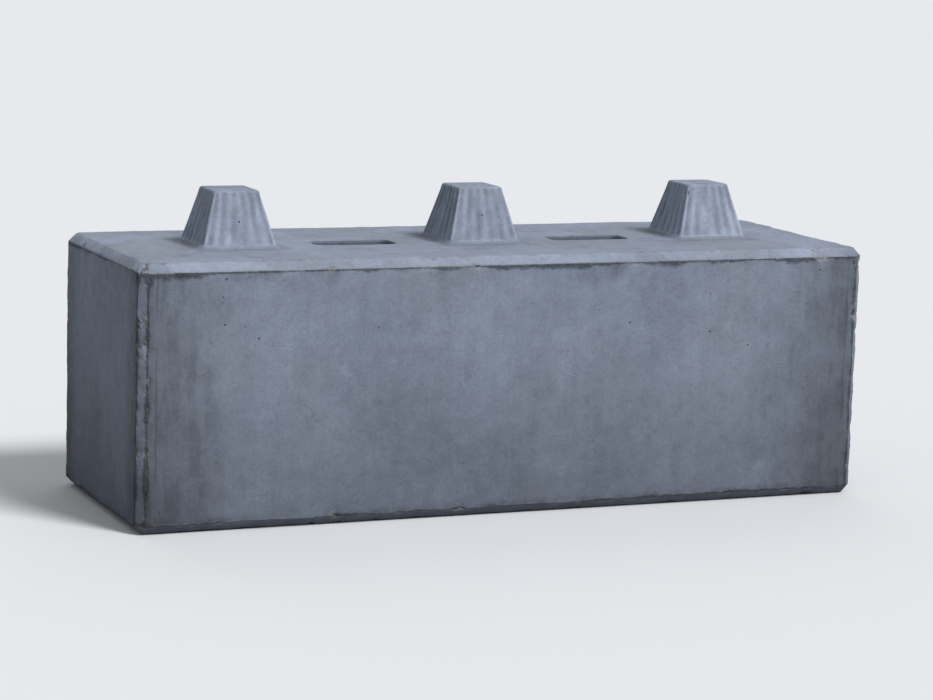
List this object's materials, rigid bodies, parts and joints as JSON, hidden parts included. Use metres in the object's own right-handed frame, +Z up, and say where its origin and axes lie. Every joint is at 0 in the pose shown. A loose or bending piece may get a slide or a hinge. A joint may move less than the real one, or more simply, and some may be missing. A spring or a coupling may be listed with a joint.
{
  "type": "interlocking concrete block",
  "caption": "Long cast-concrete wall block with a row of blunt pyramid studs on top, matching pockets beneath, and recessed steel hoops for lifting it.",
  "frame": {"origin": "middle of the bed face, on the ground", "axes": "+X along the length, +Y across the width, +Z up; the picture looks at the -Y side, with the -X end nearer"},
  "size_m": [1.8, 0.6, 0.73],
  "materials": {
    "concrete": "cast concrete, dry, matt, with mould marks and small air holes",
    "hoop_steel": "round bar with mill scale and a little surface rust"
  },
  "bodies": {
    "root": {"concrete_block": "concrete", "lifting_hoop_1": "hoop_steel", "lifting_hoop_2": "hoop_steel"}
  },
  "joints": []
}
